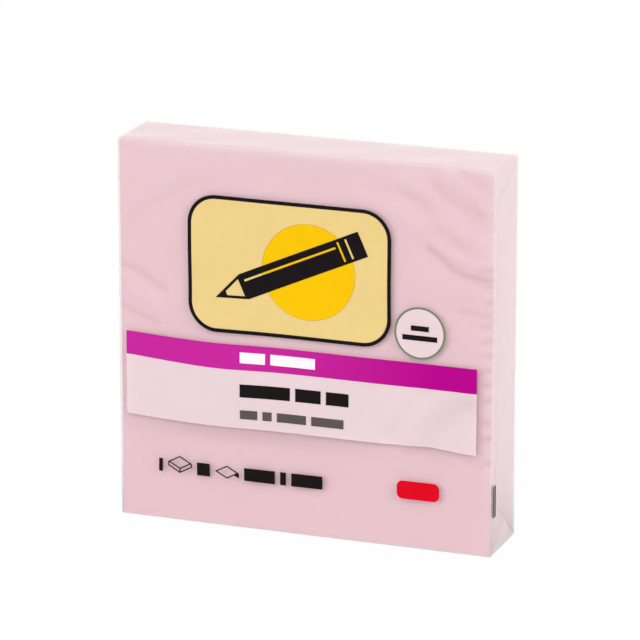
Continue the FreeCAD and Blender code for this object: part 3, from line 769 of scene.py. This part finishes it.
def pastel_paper(name, light, deep):
    finish, tree = new_finish(name)
    place = place_on_object(tree)
    cloud = noise(tree, place, scale=1 / (1.6 * MM), detail=4.0, roughness=0.6)
    fibre = noise(tree, place, scale=1 / (0.22 * MM), detail=3.0)
    tooth = add_node(tree, "ShaderNodeBump", {
        "Height": fibre, "Strength": 0.35, "Distance": 0.02 * MM})
    paper = add_node(tree, "ShaderNodeBsdfPrincipled", {
        "Base Color": mixed(tree, cloud, colour(deep), colour(light)),
        "Roughness": 0.92, "IOR": PAPER_INDEX, "Normal": tooth.outputs["Normal"]})
    show(tree, paper.outputs["BSDF"])
    return finish


def cut_edges(name, light, deep):
    finish, tree = new_finish(name)
    stretched = add_node(tree, "ShaderNodeMapping", {
        "Vector": place_on_object(tree), "Scale": (1 / (18 * MM), 1 / (0.5 * MM), 1 / (18 * MM))})
    lines = noise(tree, stretched.outputs["Vector"], scale=1.0, detail=3.0, roughness=0.65)
    paper = add_node(tree, "ShaderNodeBsdfPrincipled", {
        "Base Color": mixed(tree, lines, colour(deep), colour(light)),
        "Roughness": 0.95, "IOR": PAPER_INDEX})
    show(tree, paper.outputs["BSDF"])
    return finish


dress(notes, pastel_paper("pink_note_paper", "#E9C4CB", "#E4BEC6"),
      cut_edges("pink_cut_edges", "#F9DCE0", "#DEB8BF"))
for face in notes.data.polygons:
    face.material_index = 0 if abs(face.normal.y) > 0.9 else 1
print("paper on", len(notes.data.polygons), "faces")

# %% [markdown]
# The glue of the last note is covered by a white liner with a silicone coat, a little smoother
# than the notes. The CAD plate already has its shape, so it only gets a finish.

# %% Liner
liner_finish, tree = new_finish("silicone_coated_liner")
cloud = noise(tree, place_on_object(tree), scale=1 / (3.0 * MM), detail=4.0)
liner_paper = add_node(tree, "ShaderNodeBsdfPrincipled", {
    "Base Color": mixed(tree, cloud, colour("#EFEDEA"), colour("#F6F5F2")),
    "Roughness": 0.55, "IOR": PAPER_INDEX})
show(tree, liner_paper.outputs["BSDF"])
dress(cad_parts["backing_sheet"], liner_finish)
print("liner:", liner_finish.name)

# %% [markdown]
# ## Clear film
# Cast polypropylene, index 1.49, about 0.03 mm thick. It bends light too little to see, so the
# light goes straight through, and what shows is its gloss and a faint milkiness. Each of its
# two faces mirrors 4 % of the light head on and far more at a low angle, which is why the head
# and the end of the pad look paler than the front. A ray leaving the film would count as
# meeting glass from inside, so the mirror works on outer faces only, for both faces at once.

# %% Film finish
FILM_INDEX = 1.49


def clear_film(name, mirror_share, roughness):
    finish, tree = new_finish(name)
    painted_shade = stored(tree, "painted_shade")
    body_share = maths(tree, "MAXIMUM", stored(tree, "haze_and_painted_light"), maths(tree, "MULTIPLY", painted_shade, 0.07))
    # Painted shade turns the film a dark mauve and a little denser; the other number gives its
    # milkiness and its painted light.
    milk_and_painted_light = add_node(tree, "ShaderNodeBsdfPrincipled", {
        "Base Color": mixed(tree, painted_shade, colour("#F7F1F3"), colour("#A88790")),
        "Roughness": 0.35, "IOR": FILM_INDEX, "Alpha": body_share})
    mirror = add_node(tree, "ShaderNodeBsdfGlossy", {"Color": WHITE, "Roughness": roughness})
    reflect = add_node(tree, "ShaderNodeFresnel", {"IOR": FILM_INDEX}).outputs["Fac"]
    inner_face = add_node(tree, "ShaderNodeNewGeometry").outputs["Backfacing"]
    on_inner = maths(tree, "MULTIPLY", mirror_share, inner_face)
    outer_only = maths(tree, "SUBTRACT", mirror_share, on_inner)
    share = maths(tree, "MULTIPLY", reflect, outer_only, use_clamp=True)
    wrapped = add_node(tree, "ShaderNodeMixShader", {
        0: share, 1: milk_and_painted_light.outputs["BSDF"], 2: mirror.outputs["BSDF"]})
    show(tree, wrapped.outputs["Shader"])
    return finish


wall_finish = clear_film("clear_polypropylene_film", mirror_share=1.5, roughness=0.30)
flap_finish = clear_film("sealed_polypropylene_film", mirror_share=0.45, roughness=0.30)
for piece in film_pieces:
    dress(piece, wall_finish if piece is film else flap_finish)
print("film finish on", len(film_pieces), "pieces")

# %% [markdown]
# ## Printing inks
# The film is printed by gravure: the ink comes from tiny cells in a roller and dries to a skin
# a few thousandths of a millimetre thick, faintly cloudy, under the gloss of the film. Each
# colour is the same ink with another pigment. White is a thin coat that lets some of the pink
# through, and the magenta turns lighter towards the left. The cloud is drawn at 2 mm, coarser
# than the cells, which are too fine to show.

# %% Ink finishes
LIGHT_LEFT, DEEP_RIGHT = -8, 27  # mm from the middle, where the magenta is lightest and deepest
PAINTED_SHADE_TONE = (0.90, 0.90, 0.90, 1)


def gravure_ink(name, light, deep, cover=1.0, left_colour=None):
    """cover is the share of light that the coat stops. left_colour is its colour on the left."""
    finish, tree = new_finish(name)
    place = place_on_object(tree)
    cloud = noise(tree, place, scale=1 / (2.2 * MM), detail=3.0)
    shade = mixed(tree, cloud, colour(deep), colour(light))
    if left_colour:
        towards_left = add_node(tree, "ShaderNodeMapRange", {
            "Value": add_node(tree, "ShaderNodeSeparateXYZ", {0: place}).outputs["X"],
            "From Min": DEEP_RIGHT * MM, "From Max": LIGHT_LEFT * MM})
        shade = mixed(tree, towards_left.outputs["Result"], colour(deep), colour(left_colour))
    # Painted shade: the ink is darkened by up to a tenth where the mesh keeps painted shade.
    dimmed = mixed(tree, stored(tree, "painted_shade"), shade, PAINTED_SHADE_TONE, blend_type="MULTIPLY")
    ink = add_node(tree, "ShaderNodeBsdfPrincipled", {
        "Base Color": dimmed, "Roughness": 0.30, "IOR": FILM_INDEX, "Specular IOR Level": 0.04,
        "Alpha": cover})
    show(tree, ink.outputs["BSDF"])
    return finish


inks = {
    "white_ink": gravure_ink("thin_white_gravure_ink", "#F8E4E7", "#F4DFE3", cover=0.74),
    "solid_white_ink": gravure_ink("white_gravure_ink", "#FAF3F6", "#F4ECF0"),
    "magenta_ink": gravure_ink("magenta_gravure_ink", "#BB0A8E", "#B30388", left_colour="#C22798"),
    "pale_yellow_ink": gravure_ink("pale_yellow_gravure_ink", "#E8CD8B", "#E3C781"),
    "deep_yellow_ink": gravure_ink("deep_yellow_gravure_ink", "#F6C408", "#EFBB04"),
    "black_ink": gravure_ink("black_gravure_ink", "#1C1618", "#151012"),
    "grey_ink": gravure_ink("grey_gravure_ink", "#5E5557", "#564D50"),
    "green_ink": gravure_ink("green_gravure_ink", "#768668", "#6E7E5E"),
    "red_ink": gravure_ink("red_gravure_ink", "#DE0A24", "#D4041E"),
}
for node, slot in PRINTS.items():
    dress(prints[node], inks[slot])
print(len(inks), "inks")

# %% [markdown]
# ## Floor and background
# The pad stands on a plain white sweep. To the camera and to reflections the floor and the
# world are mostly plain white, while the floor still catches the pad's own soft shadow.

# %% Floor and world
FLOOR_GAP = 0.05  # mm under the pad
SHADOW_FROM, SHADOW_TO = 0.02, 0.10  # metres from the middle, where the shadow fades out
SHADOW_SHARE = 0.03
LIGHT_OF_WORLD = 0.46

select_only()
bpy.ops.mesh.primitive_circle_add(vertices=96, radius=3.0, fill_type="NGON",
                                  location=(0, 0, -FLOOR_GAP * MM))
floor = bpy.context.object
floor.name = "floor"
floor_finish, tree = new_finish("white_sweep")
seen = seen_directly(tree)
far_off = add_node(tree, "ShaderNodeVectorMath", {0: place_on_object(tree)}, operation="LENGTH")
clean = add_node(tree, "ShaderNodeMapRange", {
    "Value": far_off.outputs["Value"], "From Min": SHADOW_FROM, "From Max": SHADOW_TO,
    "To Min": 1 - SHADOW_SHARE, "To Max": 1.0})
veil = maths(tree, "MULTIPLY", seen, clean.outputs["Result"])
matt = add_node(tree, "ShaderNodeBsdfDiffuse", {"Color": colour("#CCCCCC")})
white = add_node(tree, "ShaderNodeEmission", {"Color": WHITE, "Strength": 1.0})
sweep = add_node(tree, "ShaderNodeMixShader", {
    0: veil, 1: matt.outputs["BSDF"], 2: white.outputs["Emission"]})
show(tree, sweep.outputs["Shader"])
dress(floor, floor_finish)

world = bpy.data.worlds.new("studio")
bpy.context.scene.world = world
world.use_nodes = True
tree = world.node_tree
tree.nodes.clear()
strength = add_node(tree, "ShaderNodeMapRange", {
    "Value": seen_directly(tree), "To Min": LIGHT_OF_WORLD, "To Max": 1.0})
backdrop = add_node(tree, "ShaderNodeBackground", {
    "Color": WHITE, "Strength": strength.outputs["Result"]})
add_node(tree, "ShaderNodeOutputWorld", {"Surface": backdrop.outputs["Background"]})
print("floor and world are set")

# %% [markdown]
# ## Light
# Three soft boxes, as for a catalogue picture: a large one high in front, which shades the
# wrinkles, a low one at the left, and one at the right that lights the cut edges of the end.

# %% Soft boxes
AIM = Vector((0, 0, 0.038))  # the middle of the pad


def away_from(azimuth, elevation):
    """A direction from the pad. Azimuth turns to the right from the front, in degrees."""
    a, e = math.radians(azimuth), math.radians(elevation)
    return Vector((math.sin(a) * math.cos(e), -math.cos(a) * math.cos(e), math.sin(e)))


def soft_box(name, azimuth, elevation, distance, size, power):
    """A square area lamp, aimed at the middle of the pad."""
    away = away_from(azimuth, elevation)
    lamp = bpy.data.lights.new(name, "AREA")
    lamp.shape, lamp.size, lamp.energy = "SQUARE", size, power
    holder = bpy.data.objects.new(name, lamp)
    holder.location = AIM + away * distance
    holder.rotation_euler = away.to_track_quat("Z", "Y").to_euler()
    bpy.context.scene.collection.objects.link(holder)
    return holder


key = soft_box("key_box", azimuth=-14, elevation=52, distance=2.2, size=1.6, power=21.0)
key.visible_glossy = False
soft_box("left_box", azimuth=-55, elevation=8, distance=1.2, size=0.5, power=4.7)
soft_box("right_box", azimuth=70, elevation=25, distance=1.2, size=0.5, power=7.7)
print("three soft boxes")

# %% [markdown]
# ## Camera
# The camera stands where the photograph's did: far off with a long lens, a little above the
# pad and round to its right. Its place comes from the pixels of the pad's corners.

# %% Camera
AZIMUTH, ELEVATION = 20.49, 16.35
DISTANCE, RIGHTWARDS, UPWARDS = 875.1 * MM, 0.68 * MM, 3.11 * MM
FOCAL_PIXELS, WIDTH_PIXELS, SENSOR = 4524.2, 640, 36

back_way = away_from(AZIMUTH, ELEVATION)
right_way = Vector((math.cos(math.radians(AZIMUTH)), math.sin(math.radians(AZIMUTH)), 0))
up_way = back_way.cross(right_way)
lens = bpy.data.cameras.new("camera")
lens.sensor_width = SENSOR
lens.lens = FOCAL_PIXELS / WIDTH_PIXELS * SENSOR
lens.clip_start, lens.clip_end = 0.05, 50
camera = bpy.data.objects.new("camera", lens)
bpy.context.scene.collection.objects.link(camera)
middle = Vector((0, 0, 38.4 * MM))
camera.location = middle + back_way * DISTANCE + right_way * RIGHTWARDS + up_way * UPWARDS
camera.rotation_euler = back_way.to_track_quat("Z", "Y").to_euler()
bpy.context.scene.camera = camera
bpy.context.scene.view_settings.view_transform = "Standard"
bpy.context.scene.cycles.transparent_max_bounces = 32
print(f"lens {lens.lens:.1f} mm")
